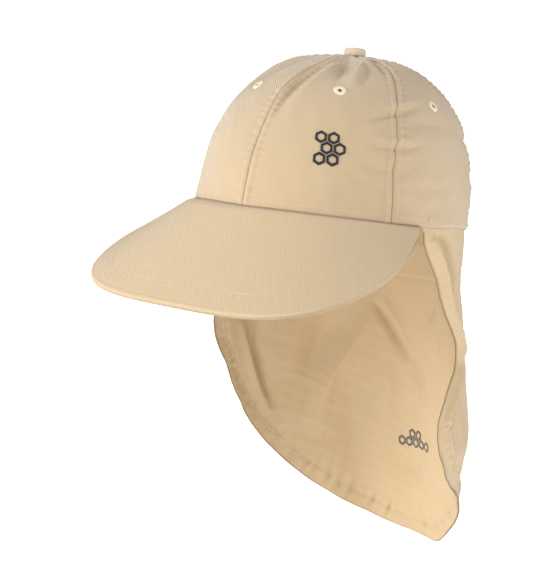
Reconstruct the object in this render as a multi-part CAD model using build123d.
from build123d import *
import math
import os

import numpy as np

# Six-panel cotton cap with a long stiff bill and a sewn-on neck cape.
# Millimetres. Origin: centre of the head opening, at the crown's lower edge.
# Front of the cap is -Y, the wearer's left is +X, up is +Z. The opening is
# worn tipped, its front higher than its back, by PITCH_DEG about X.
# Angles run round from the front (0) over the wearer's left (90) to the back (180).
# "Rise" is the crown's parameter from its lower edge (0) to its apex (1).

# ---------------------------------------------------------------- dimensions
RING_A = 87.5          # half width of the crown's lower edge (outside)
RING_B = 105.0         # half length of the crown's lower edge (outside)
CROWN_H = 108.087      # crown height above the opening
CROWN_N = 2.393        # roundness exponent of the crown's profile
PITCH_DEG = 8.498      # forward-up tip of the opening
FRONT_ARCH = 7.636     # rise of the lower edge over the forehead
ARCH_END_DEG = 82.0    # the arch has died out at this angle
APEX_SHIFT = 10.589    # apex sits this far behind the opening's centre
BACK_DIP = 12.578      # drop of the lower edge at the nape
DIP_START_DEG = 85.0   # the dip starts at this angle
CLOTH = 1.0            # crown panel thickness (twill with its turned seams)
SEAM_GAP = 0.25        # half of the gap between two neighbouring panels
TOP_R = 6.4            # panels stop at this radius, under the button

BILL_L = 140.688       # bill reach ahead of the corner chord
BILL_W = 107.53        # half width of the bill's outline
BILL_M = 3.533         # squareness exponent of the bill's outline
BILL_FLARE = 0.6       # share of the reach over which the outline widens from the corners
BILL_ZF = -52.18       # drop of the bill's front edge
BILL_ZM = -30.122      # drop control half way
BILL_CORNER = 74.579   # where the bill's corners meet the crown, degrees
BILL_START = 1.6       # the bill's cloth starts this far ahead of the crown's edge
CORNER_CUT = 5.0       # length of outline left off at each corner
BOARD_T = 2.0          # plastic board
BOARD_EDGE = 3.4       # board stops this far inside the bill's edge
BOARD_BACK_GAP = 0.6   # board starts this far ahead of its cover
BOARD_CLEAR_COLUMNS = 3  # grid columns left clear at each corner
COVER_T = 0.9          # cloth cover, each side
COVER_LOW = BOARD_T / 2 + 0.3      # cover faces, measured from the bill's middle surface
COVER_HIGH = COVER_LOW + COVER_T
COVER_FLAT_START = 6.0  # distance from the outer edge where evenly spaced rows start

LINING = -(CLOTH + 0.5)  # offset from the crown's outside to the first inner layer
BAND_H = 30.0          # sweatband height
BAND_T = 1.2
TAPE_W = 14.0          # seam tape width
TAPE_MAX_DEG = 26      # a tape's half width never spans more than this
TAPE_T = 0.6
CASING_TOP, CASING_DROP = 14.0, 13.5   # rear casing above and below the edge
CASING_T = 0.7
CASING_OFF = LINING - 1.4
CASING_CAPE_GAP = 2.1  # from the cape's outer face in to the casing
ELASTIC_T, ELASTIC_LOW, ELASTIC_HIGH = 0.9, 2.0, 12.0
LABEL_OFF = CASING_OFF - CASING_T - 0.3
LABEL_T = 0.4

EYELET_R, EYELET_HOLE_R, EYELET_BORE_R = 4.4, 2.7, 1.6
EYELET_RIM_H = 0.7
EYELET_SLEEVE_H = 1.4
EYELET_LIFT = 0.3      # rim's underside above the cloth

BUTTON_R, BUTTON_H = 7.3, 5.4
BUTTON_BASE = 0.55     # button's underside above the apex
BUTTON_CORE_ROUND = 3.4
STEM_R, STEM_DEPTH, STEM_REACH = 1.45, 3.6, 2.3   # reach is measured into the core
SOCKET_R, SOCKET_H = 1.55, 2.6
WASHER_R, WASHER_T, WASHER_DEPTH = 6.2, 0.9, 4.2

CAPE_FRONT = 77.5      # where the cape's free edges start at the crown, degrees
YOKE_DROP = 40.0       # height of the cape's yoke band under the crown
YOKE_TOP_DROP = 0.5    # yoke starts this far under the crown's edge
YOKE_OFF = -0.05       # yoke's outer face against the cape surface
YOKE_GAP = 1.6         # play between the yoke and the moving cape
CAPE_T = 1.0           # cape cloth, double at its hems
HINGE_DEG = 128.0      # rear quarter line that each wing folds about
WING_GAP = 1.1         # half of the play at that line
WING_GAP_DEG = math.degrees(WING_GAP / 95.0)
CAPE_BLEND = 40.0      # height over which the cape leaves the crown's outline
EDGE_FLOOR = -97.0     # free edge points above this height give the angle at a height

CELL_PITCH, CELL_R, CELL_WALL = 8.2, 4.3, 1.3     # hexagonal cells of the motifs
CELL_LOW, CELL_HIGH = 0.3, 1.0                    # their faces above the cloth

TACK_ANGLE, TACK_RISE, TACK_OFF = 80.0, 0.02, 0.7
TACK_L, TACK_W, TACK_T, TACK_ROUND = 5.0, 1.6, 0.6, 0.7

# Seams: (rise, angle)
FRONT_SEAM = [(0.0, 0.0), (0.45, 0.0), (0.55, 1.2), (0.65, 4.5), (0.75, 6.5), (1.0, 7.0)]
SIDE_SEAM = [(0.0, 61.2), (0.16, 60.3), (0.30, 61.2), (0.43, 62.7), (0.60, 66.6),
             (0.72, 69.0), (0.85, 68.4), (1.0, 67.0)]
REAR_SEAM = [(0.0, 120.0), (0.5, 121.0), (1.0, 124.0)]
BACK_SEAM = [(0.0, 180.0), (1.0, 180.0)]

# Each seam as (table, sign of its angles); the wearer's right is negative
FRONT = (FRONT_SEAM, 1)
SIDE_LEFT, SIDE_RIGHT = (SIDE_SEAM, 1), (SIDE_SEAM, -1)
REAR_LEFT, REAR_RIGHT = (REAR_SEAM, 1), (REAR_SEAM, -1)
BACK_LEFT, BACK_RIGHT = (BACK_SEAM, 1), (BACK_SEAM, -1)

# Panels: name, low seam, high seam, eyelet angle, eyelet rise
PANELS = [
    ("front_left", FRONT, SIDE_LEFT, 32.5, 0.525),
    ("side_left", SIDE_LEFT, REAR_LEFT, 89.5, 0.48),
    ("back_left", REAR_LEFT, BACK_LEFT, 150.0, 0.50),
    ("back_right", BACK_RIGHT, REAR_RIGHT, -150.0, 0.50),
    ("side_right", REAR_RIGHT, SIDE_RIGHT, -89.5, 0.48),
    ("front_right", SIDE_RIGHT, FRONT, -25.5, 0.52),
]

# Seam tapes: name, the two seams covered
TAPES = [
    ("centre", FRONT, BACK_LEFT),
    ("left_front", SIDE_LEFT, REAR_RIGHT),
    ("right_front", SIDE_RIGHT, REAR_LEFT),
]

# Hanging cape on each side: (height, half width)
CAPE_LEFT = [(-285, 79), (-235, 82), (-205, 82), (-185, 86.5), (-165, 90.5), (-150, 90),
             (-120, 87.5), (-90, 85.5), (-60, 83), (-20, 84.5)]
CAPE_RIGHT = [(-285, 80), (-200, 85), (-120, 87), (-60, 85), (-20, 84.5)]

# Free front edges and hems: (angle from the front, height)
EDGE_LEFT = [(CAPE_FRONT, 4.0), (78.4, -5.8), (80.6, -13.8), (83.6, -22.0), (87.4, -30.6),
             (90.4, -39.4), (93.2, -50.3), (98.6, -65.3), (102.0, -73.9), (105.7, -82.0),
             (108.9, -89.3), (110.4, -96.0), (109.9, -101.9), (106.4, -106.8),
             (102.5, -111.5), (99.3, -115.3), (95.4, -120.6), (92.0, -125.0),
             (88.9, -131.0), (87.0, -138.1), (86.5, -144.8), (87.5, -153.7),
             (89.6, -162.9), (94.8, -177.0), (103.5, -190.0), (113.0, -202.5)]
HEM_LEFT = [(113.0, -202.5), (120.0, -213.0), (128.0, -224.0), (136.0, -238.0),
            (145.0, -254.0), (153.0, -266.5), (161.0, -277.0), (166.0, -280.8),
            (172.0, -281.2), (180.0, -279.8)]
EDGE_RIGHT = [(CAPE_FRONT, 4.0), (76.4, -12.0), (75.6, -30.0), (75.1, -50.0), (75.0, -70.0),
              (75.5, -88.0), (77.0, -100.0), (79.0, -109.0), (82.0, -119.0),
              (85.3, -134.7), (87.8, -144.0), (90.7, -153.3), (93.0, -162.3),
              (96.2, -172.0), (100.4, -182.2), (104.6, -192.4), (109.4, -203.0)]
HEM_RIGHT = [(109.4, -203.0), (114.2, -213.4), (119.8, -224.2), (126.0, -235.0),
             (133.8, -245.9), (141.8, -256.2), (152.0, -266.5), (162.0, -274.3),
             (171.0, -278.0), (180.0, -279.8)]

# Cover near the bill's rolled edge: (distance from the edge, low face, high face)
COVER_RIM = [(0.0, 0.2, 0.95), (0.5, 0.3, 1.4), (1.1, 0.6, 1.75), (1.8, 1.0, 2.0),
             (2.6, COVER_LOW, COVER_HIGH), (3.6, COVER_LOW, COVER_HIGH)]

# Motif cells: (column, slanted row)
CROWN_CELLS = [(0, 0), (1, 0), (-1, 1), (0, 1), (0, -1), (1, -1)]
CAPE_CELLS = [(-2, 0), (-1, 0), (0, 0), (1, 0), (2, 0), (-1, 1), (0, 1)]

BASE_DOWN = (Align.CENTER, Align.CENTER, Align.MAX)
BASE_UP = (Align.CENTER, Align.CENTER, Align.MIN)


# -------------------------------------------------------------------- curves
def smooth(x):
    """Smooth step from 0 to 1."""
    x = np.clip(x, 0.0, 1.0)
    return x * x * (3 - 2 * x)


def curve(table, x):
    """Monotone cubic through a table of (x, y)."""
    xs, ys = np.array(sorted(table), float).T
    step = np.diff(xs)
    chord = np.diff(ys) / step
    slope = np.zeros(len(xs))
    for i in range(1, len(xs) - 1):
        if chord[i - 1] * chord[i] > 0:
            w1 = 2 * step[i] + step[i - 1]
            w2 = step[i] + 2 * step[i - 1]
            slope[i] = (w1 + w2) / (w1 / chord[i - 1] + w2 / chord[i])
    slope[0], slope[-1] = chord[0], chord[-1]
    x = np.clip(np.asarray(x, float), xs[0], xs[-1])
    k = np.clip(np.searchsorted(xs, x, side="right") - 1, 0, len(xs) - 2)
    s = (x - xs[k]) / step[k]
    return (ys[k] * (2 * s**3 - 3 * s**2 + 1)
            + step[k] * slope[k] * (s**3 - 2 * s**2 + s)
            + ys[k + 1] * (-2 * s**3 + 3 * s**2)
            + step[k] * slope[k + 1] * (s**3 - s**2))


def lengths(points):
    """Running length along a row of points."""
    return np.concatenate([[0], np.cumsum(np.linalg.norm(np.diff(points, axis=0), axis=1))])


def path(table, count):
    """Points spaced evenly in length along a list of (angle, height)."""
    mm_per_degree = 1.5
    points = np.array(table, float)
    run = lengths(points * np.array([mm_per_degree, 1.0]))
    even = np.linspace(0, run[-1], count)
    return np.stack([curve(list(zip(run, column)), even) for column in points.T], -1)


def coons(top, bottom, left, right):
    """Grid of (angle, height) filling four border curves."""
    s = np.linspace(0, 1, len(top))[None, :, None]
    t = np.linspace(0, 1, len(left))[:, None, None]
    across = (1 - t) * top[None] + t * bottom[None]
    down = (1 - s) * left[:, None] + s * right[:, None]
    corners = ((1 - s) * (1 - t) * top[0] + s * (1 - t) * top[-1]
               + (1 - s) * t * bottom[0] + s * t * bottom[-1])
    return across + down - corners


# -------------------------------------------------------- surfaces and solids
def offset_points(surface, u, v, du, dv, outward, distance):
    """Surface points moved by distance along the normal on the side of outward(points)."""
    points = surface(u, v)
    normal = np.cross(surface(u + du, v) - surface(u - du, v),
                      surface(u, v + dv) - surface(u, v - dv))
    normal = normal / np.linalg.norm(normal, axis=-1, keepdims=True)
    side = np.sign(np.sum(normal * outward(points), -1, keepdims=True))
    return points + normal * side * np.asarray(distance)[..., None]


def point_and_normal(surface_off, u, v):
    point = surface_off(u, v, 0.0)
    return point, surface_off(u, v, 1.0) - point


def vector(values):
    return Vector(*map(float, values))


def face(grid):
    return Face.make_surface_from_array_of_points(
        [[vector(point) for point in row] for row in grid], tol=2e-2)


def border(surface, start, end):
    """The face's edge whose ends lie nearest the two points."""
    def miss(edge):
        a, b = np.array(tuple(edge @ 0)), np.array(tuple(edge @ 1))
        return min(np.linalg.norm(a - start) + np.linalg.norm(b - end),
                   np.linalg.norm(a - end) + np.linalg.norm(b - start))
    return min(surface.edges(), key=miss)


def slab(outer, inner):
    """Closed solid between two grids of points of the same shape."""
    outer_face, inner_face = face(outer), face(inner)
    corners = [((0, 0), (0, -1)), ((-1, 0), (-1, -1)), ((0, 0), (-1, 0)), ((0, -1), (-1, -1))]
    walls = [Face.make_surface_from_curves(border(outer_face, outer[p], outer[q]),
                                           border(inner_face, inner[p], inner[q]))
             for p, q in corners]
    faces = [outer_face, inner_face] + walls
    body = Solid(Shell(faces))
    return body if body.volume > 0 else Solid(Shell([-f for f in faces]))


def sheet(surface_off, u, v, outer, inner):
    """Slab between two offsets of one surface."""
    return slab(surface_off(u, v, outer), surface_off(u, v, inner))


def save(name, *solids):
    shape = solids[0] if len(solids) == 1 else Compound(children=list(solids))
    export_step(shape, f"parts/{name}.step")


# ------------------------------------------------------------- crown surface
def tip(points):
    """From the opening's own plane to the worn attitude."""
    c, s = math.cos(math.radians(PITCH_DEG)), math.sin(math.radians(PITCH_DEG))
    x, y, z = points[..., 0], points[..., 1], points[..., 2]
    return np.stack([x, y * c + z * s, z * c - y * s], -1)


def ring_z(angle):
    """Height of the crown's lower edge in its own plane: arched in front, dipped behind."""
    d = np.degrees(np.abs(angle)) % 360.0
    d = np.where(d > 180.0, 360.0 - d, d)
    return (FRONT_ARCH * np.clip(1 - (d / ARCH_END_DEG) ** 2, 0, 1)
            - BACK_DIP * smooth((d - DIP_START_DEG) / (180.0 - DIP_START_DEG)))


def plan_scale(rise):
    """Size of the crown's plan outline at a rise, as a share of its lower edge."""
    return np.maximum(np.cos(rise * math.pi / 2), 1e-9) ** (2 / CROWN_N)


def crown(angle, rise):
    """Outer surface of the crown."""
    r = plan_scale(rise)
    z = np.sin(rise * math.pi / 2) ** (2 / CROWN_N)
    return tip(np.stack([RING_A * r * np.sin(angle),
                         -RING_B * r * np.cos(angle) + APEX_SHIFT * z,
                         CROWN_H * z + ring_z(angle) * (1 - z) ** 1.5], -1))


def crown_off(angle, rise, distance):
    """Crown surface moved outward by distance along its normal."""
    inside = np.array([0, 0, 20.0])
    return offset_points(crown, angle, np.clip(rise, 2e-3, 0.995), 1e-3, 1e-3,
                         lambda points: points - inside, distance)


def crown_edge(angle):
    return crown(angle, 1e-3)


def rise_at(angle, height):
    """Rise at which the crown is this far from its edge, for an array of angles."""
    low, high = np.zeros_like(angle), np.full_like(angle, 0.6)
    base = crown(angle, 0.0)
    for _ in range(40):
        middle = (low + high) / 2
        below = np.linalg.norm(crown(angle, middle) - base, axis=-1) < height
        low, high = np.where(below, middle, low), np.where(below, high, middle)
    return (low + high) / 2


def seam_angle(seam, rise):
    table, sign = seam
    return np.radians(sign * curve(table, rise))


# -------------------------------------------------- crown panels and eyelets
def panel(low_seam, high_seam):
    """Crown cloth between two seams, leaving the gap at each."""
    top = 2 / math.pi * math.acos((TOP_R / ((RING_A + RING_B) / 2)) ** (CROWN_N / 2))
    rise = np.concatenate([np.linspace(0.0, 0.1, 6), np.linspace(0.13, 0.9, 24),
                           [0.925, 0.95, top]])
    gap = SEAM_GAP / (plan_scale(rise) * 88.0)
    angle = np.linspace(seam_angle(low_seam, rise) + gap,
                        seam_angle(high_seam, rise) - gap, 15, axis=1)
    return sheet(crown_off, angle, rise[:, None], 0.0, -CLOTH)


def eyelet(plane):
    """Rounded rim with a sleeve down through the panel."""
    rim = (Cylinder(EYELET_R, EYELET_RIM_H, align=BASE_UP)
           - Cylinder(EYELET_BORE_R, 3))
    rim = fillet(rim.edges().filter_by(GeomType.CIRCLE).sort_by(Axis.Z)[-2:], 0.3)
    sleeve = (Cylinder(EYELET_HOLE_R - 0.15, EYELET_SLEEVE_H, align=BASE_DOWN)
              - Cylinder(EYELET_BORE_R, 6))
    placed = plane * Pos(0, 0, EYELET_LIFT) * (rim + Pos(0, 0, 0.001) * sleeve)
    return placed.solids()[0]


def save_panels():
    eyelets = []
    for name, low_seam, high_seam, angle, rise in PANELS:
        point, normal = point_and_normal(crown_off, math.radians(angle), rise)
        plane = Plane(origin=vector(point), z_dir=vector(normal))
        body = panel(low_seam, high_seam) - plane * Cylinder(EYELET_HOLE_R, 12)
        save(f"crown_panel_{name}", body.solids()[0])
        eyelets.append(eyelet(plane))
    save("eyelets", *eyelets)


# ------------------------------------------- layers on the inside of the crown
def tape(seam):
    """Strip centred on a seam, narrowed towards the apex."""
    rise = np.linspace(0.24, 0.915, 22)
    radius = plan_scale(rise) * 92.0
    half = np.minimum(TAPE_W / 2, radius * math.radians(TAPE_MAX_DEG)) / radius
    angle = seam_angle(seam, rise)[:, None] + half[:, None] * np.linspace(-1, 1, 5)
    return sheet(crown_off, angle, rise[:, None], LINING, LINING - TAPE_T)


def band(start, end, low, high, offset, thickness, columns=41, rows=7):
    """Strip inside the crown between two angles and two heights above its edge."""
    angle = np.radians(np.linspace(start, end, columns))
    rise = np.stack([rise_at(angle, height) for height in np.linspace(low, high, rows)])
    return sheet(crown_off, angle, rise, offset, offset - thickness)


# -------------------------------------------------------------- cape surface
def cape(angle, z):
    """Outer face of the hanging cape: angle 0 to a full turn, z world height."""
    angle = np.asarray(angle, float)
    z = np.asarray(z, float)
    folded = np.where(angle <= math.pi, angle, 2 * math.pi - angle)
    ring = crown_edge(angle)
    left, right = curve(CAPE_LEFT, z), curve(CAPE_RIGHT, z)
    mean = (left + right) / 2
    # the two sides' widths merge over the last 50 degrees before the back
    own = smooth((math.pi - folded) / math.radians(50.0))
    half_width = mean + (np.where(angle <= math.pi, left, right) - mean) * own
    half_length = 102.0 + (np.abs(z) - 28.0) * 0.06
    hang = smooth((ring[..., 2] - z) / CAPE_BLEND)
    shrink = 1 - CLOTH / 92.0
    return np.stack([
        (1 - hang) * ring[..., 0] * shrink + hang * half_width * np.sin(angle),
        (1 - hang) * ring[..., 1] * shrink - hang * half_length * np.cos(angle),
        z], -1)


def cape_off(angle, z, distance):
    """Cape surface moved outward by distance along its normal."""
    return offset_points(cape, angle, z, 2e-3, 0.2,
                         lambda points: points * np.array([1, 1, 0]), distance)


def yoke_line(angle):
    """World height of the yoke's lower edge: the crown's edge line, YOKE_DROP lower."""
    y_front, z_front = crown_edge(math.radians(CAPE_FRONT))[1:]
    y_back, z_back = crown_edge(math.pi)[1:]
    share = (crown_edge(angle)[..., 1] - y_front) / (y_back - y_front)
    return z_front + (z_back - z_front) * share - YOKE_DROP


def edge_angle(table, z):
    """Angle of a free edge, in degrees, at height z in its upper part."""
    return curve([(height, angle) for angle, height in table if height > EDGE_FLOOR], z)


# --------------------------------------------------------- cape-side pieces
def rear_casing():
    """Strip from inside the back of the crown to CASING_DROP under its edge."""
    angle = np.radians(np.linspace(121, 239, 41))
    rows = []
    for height in np.linspace(CASING_TOP, 0.6, 5):
        rise = rise_at(angle, height)
        rows.append((crown_off(angle, rise, CASING_OFF),
                     crown_off(angle, rise, CASING_OFF - CASING_T)))
    inward = rows[-1][1] - rows[-1][0]
    inward = inward / np.linalg.norm(inward, axis=-1, keepdims=True) * np.array([1, 1, 0.0])
    for drop in np.linspace(2.5, CASING_DROP, 4):
        points = cape(angle, crown_edge(angle)[..., 2] - drop)
        rows.append((points + inward * CASING_CAPE_GAP,
                     points + inward * (CASING_CAPE_GAP + CASING_T)))
    outer, inner = zip(*rows)
    return slab(np.array(outer), np.array(inner))


def yoke_height(angle, share):
    """Height at a share of the way down the yoke."""
    top = crown_edge(angle)[..., 2] - YOKE_TOP_DROP
    return top + (yoke_line(angle) - top) * share


def cape_yoke():
    """Fixed band under the crown, running between the two free edges."""
    angles, heights = [], []
    for share in np.linspace(0.0, 1.0, 12):
        left, right = CAPE_FRONT, CAPE_FRONT
        # a row's height and its end angles depend on each other
        for _ in range(6):
            z = yoke_height(np.radians(np.array([left, right])), share)
            left = float(edge_angle(EDGE_LEFT, z[0]))
            right = float(edge_angle(EDGE_RIGHT, z[1]))
        angle = np.radians(np.linspace(left, 360 - right, 61))
        angles.append(angle)
        heights.append(yoke_height(angle, share))
    return sheet(cape_off, np.array(angles), np.array(heights), YOKE_OFF, YOKE_OFF - CAPE_T)


def cape_top(start, end, count):
    """Top border of the moving cape, as (angle, height)."""
    angle = np.linspace(start, end, count)
    return np.stack([angle, yoke_line(np.radians(angle)) - YOKE_GAP], -1)


def cape_back():
    """Rear part of the cape, between the two hinge lines."""
    start = HINGE_DEG + WING_GAP_DEG
    top = cape_top(start, 360 - start, 49)
    angle = top[:, 0]
    hem = np.where(angle <= 180.0, curve(HEM_LEFT, angle), curve(HEM_RIGHT, 360.0 - angle))
    bottom = np.stack([angle, hem], -1)
    share = np.linspace(0, 1, 22)[:, None, None]
    grid = (1 - share) * top[None] + share * bottom[None]
    return sheet(cape_off, np.radians(grid[..., 0]), grid[..., 1], 0.0, -CAPE_T)


def wing(edge, hem, mirror):
    """One wing: from the rear quarter line forward to the free edge."""
    hinge = HINGE_DEG - WING_GAP_DEG
    hinge_low = float(curve(hem, hinge))
    # find where the free edge leaves the yoke
    start = 80.0
    for _ in range(30):
        start_z = float(yoke_line(math.radians(start))) - YOKE_GAP
        start = float(edge_angle(edge, start_z))
    front = path([(start, start_z)] + [p for p in edge if p[1] < start_z - 2.0], 40)
    bottom = path([p for p in hem if p[0] < hinge] + [(hinge, hinge_low)], 17)
    top = cape_top(start, hinge, 17)
    back = np.stack([np.full(40, hinge), np.linspace(top[-1, 1], hinge_low, 40)], -1)
    grid = coons(top, bottom, front, back)
    angle = np.radians(grid[..., 0])
    if mirror:
        angle = 2 * math.pi - angle
    return sheet(cape_off, angle, grid[..., 1], 0.0, -CAPE_T)


# --------------------------------------------------------------------- bill
# The bill's own angle, phi, runs from -90 to 90 degrees between its two corners.
def bill_edge(phi):
    """Outer edge of the bill in the opening's own plane."""
    corner = math.radians(BILL_CORNER)
    corner_x, corner_y = RING_A * math.sin(corner), -RING_B * math.cos(corner)
    cosine, sine = np.abs(np.cos(phi)), np.sin(phi)
    x = BILL_W * np.sign(sine) * np.abs(sine) ** (2 / BILL_M)
    y = corner_y - BILL_L * cosine ** (2 / BILL_M)
    ahead = np.clip((corner_y - y) / BILL_L, 0, 1)
    flare = 1 - (1 - np.clip(ahead / BILL_FLARE, 0, 1)) ** 2
    x = x * (corner_x / BILL_W + (1 - corner_x / BILL_W) * flare)
    z = BILL_ZF * ahead ** 2 + 2 * BILL_ZM * (1 - ahead) * ahead
    return np.stack([x, y, z], -1)


def bill_mid(phi, s):
    """Middle surface of the bill: s 0 at the crown's edge, 1 at the outer edge."""
    angle = phi * math.radians(BILL_CORNER) / (math.pi / 2)
    ring = np.stack([RING_A * np.sin(angle), -RING_B * np.cos(angle), ring_z(angle)], -1)
    return tip(ring + (bill_edge(phi) - ring) * s[..., None])


def bill_off(phi, s, distance):
    """Bill's middle surface moved upward by distance along its normal."""
    return offset_points(bill_mid, phi, s, 1e-3, 1e-3,
                         lambda points: np.array([0, 0, 1.0]), distance)


def bill_columns():
    """Angles whose points fall evenly round the bill's outline."""
    fine = np.linspace(-math.pi / 2, math.pi / 2, 4001)
    run = lengths(bill_edge(fine))
    return np.interp(np.linspace(CORNER_CUT, run[-1] - CORNER_CUT, 61), run, fine)


PHI = bill_columns()
REACH = np.linalg.norm(bill_mid(PHI, np.ones_like(PHI)) - bill_mid(PHI, np.zeros_like(PHI)),
                       axis=-1)


def visor_board():
    s = np.linspace((BILL_START + BOARD_BACK_GAP) / REACH, 1 - BOARD_EDGE / REACH, 13)
    kept = slice(BOARD_CLEAR_COLUMNS, -BOARD_CLEAR_COLUMNS)
    return slab(bill_off(PHI, s, BOARD_T / 2)[:, kept],
                bill_off(PHI, s, -BOARD_T / 2)[:, kept])


def visor_cover(sign):
    """Cloth cover on one face of the board, closing to the middle at the rolled edge."""
    flat_rows = 8
    distance, low, high = np.array(COVER_RIM).T
    start = BILL_START / REACH
    s = np.concatenate([np.maximum(1 - distance[:, None] / REACH, start),
                        np.linspace(1 - COVER_FLAT_START / REACH, start, flat_rows)])
    low = np.append(low, np.full(flat_rows, COVER_LOW))[:, None]
    high = np.append(high, np.full(flat_rows, COVER_HIGH))[:, None]
    return sheet(bill_off, PHI, s, sign * high, sign * low)


# ------------------------------------------------------------------- button
def rounded_cylinder(radius, height, rounding):
    """Cylinder standing on its base with its top edge rounded."""
    body = Cylinder(radius, height, align=BASE_UP)
    return fillet(body.edges().filter_by(GeomType.CIRCLE).sort_by(Axis.Z)[-1], rounding)


def save_button():
    apex = Plane(origin=vector(crown(0.0, 0.9999)),
                 z_dir=vector(tip(np.array([0.0, 0.0, 1.0]))))
    shell = rounded_cylinder(BUTTON_R, BUTTON_H, 4.2)
    hollow = rounded_cylinder(BUTTON_R - 0.9, BUTTON_H - 0.95, BUTTON_CORE_ROUND)
    save("button_cover", apex * Pos(0, 0, BUTTON_BASE) * (shell - hollow))

    core = rounded_cylinder(BUTTON_R - 1.0, BUTTON_H - 1.1, BUTTON_CORE_ROUND)
    socket = Cylinder(SOCKET_R, SOCKET_H, align=BASE_UP)
    save("button_core", apex * Pos(0, 0, BUTTON_BASE) * (core - socket))

    stem = Pos(0, 0, -STEM_DEPTH) * Cylinder(
        STEM_R, STEM_DEPTH + BUTTON_BASE + STEM_REACH, align=BASE_UP)
    washer = Pos(0, 0, -WASHER_DEPTH) * Cylinder(WASHER_R, WASHER_T, align=BASE_UP)
    washer = fillet(washer.edges().filter_by(GeomType.CIRCLE).sort_by(Axis.Z)[0], 0.4)
    save("button_rivet", apex * (stem + washer))


# ------------------------------------------------- embroidered cell clusters
def hex_prism(plane, radius, depth):
    return plane * extrude(RegularPolygon(radius, 6), depth / 2, both=True)


def motif(surface_off, angles, levels, centre, cells):
    """Hexagonal rings cut from a thin skin over a surface; each is its own solid."""
    angle_grid, level_grid = np.meshgrid(np.radians(angles), levels)
    skin = sheet(surface_off, angle_grid, level_grid, CELL_HIGH, CELL_LOW)
    angle, level = math.radians(centre[0]), centre[1]
    point, normal = point_and_normal(surface_off, angle, level)
    across = surface_off(angle + 0.02, level, 0.0) - point
    across = across / np.linalg.norm(across)
    up = np.cross(normal, across)
    up = up * np.sign(up[2])
    solids = []
    for i, j in cells:
        cell = (point + across * (CELL_PITCH * (i + j / 2))
                + up * (CELL_PITCH * j * math.sqrt(3) / 2))
        plane = Plane(origin=vector(cell), x_dir=vector(up), z_dir=vector(normal))
        ring = hex_prism(plane, CELL_R, 16) - hex_prism(plane, CELL_R - CELL_WALL, 18)
        solids += list((skin & ring).solids())
    return solids


# -------------------------------------------------------------- temple tacks
def bartack(sign):
    """Small upright bar on the crown's edge at one temple."""
    point, normal = point_and_normal(crown_off, math.radians(sign * TACK_ANGLE), TACK_RISE)
    plane = Plane(origin=vector(point + normal * TACK_OFF), x_dir=Vector(0, 0, 1),
                  z_dir=vector(normal))
    bar = Box(TACK_L, TACK_W, TACK_T)
    return plane * fillet(bar.edges().filter_by(Axis.Z), TACK_ROUND)


# -------------------------------------------------------------- write pieces
os.makedirs("parts", exist_ok=True)

save_panels()
for tape_name, *seams in TAPES:
    save(f"seam_tape_{tape_name}", *[tape(seam) for seam in seams])
save("sweatband", band(-117, 117, 1.0, BAND_H, LINING, BAND_T, columns=61))
save("rear_elastic", band(122, 238, ELASTIC_LOW, ELASTIC_HIGH, LINING, ELASTIC_T))
save("size_label", band(175, 185, 3.5, 11.0, LABEL_OFF, LABEL_T, columns=5, rows=4))
save("rear_casing", rear_casing())

save("cape_yoke", cape_yoke())
save("cape_back", cape_back())
save("cape_wing_left", wing(EDGE_LEFT, HEM_LEFT, mirror=False))
save("cape_wing_right", wing(EDGE_RIGHT, HEM_RIGHT, mirror=True))

save("visor_board", visor_board())
save("visor_top_cover", visor_cover(1))
save("visor_under_cover", visor_cover(-1))
save_button()

save("crown_motif", *motif(crown_off, np.linspace(17, 46, 15), np.linspace(0.10, 0.38, 13),
                           (31.7, 0.228), CROWN_CELLS))
save("cape_motif", *motif(cape_off, np.linspace(164, 196, 13), np.linspace(-224, -182, 11),
                          (178.0, -203.0), CAPE_CELLS))
save("bartacks", *[bartack(sign) for sign in (1, -1)])
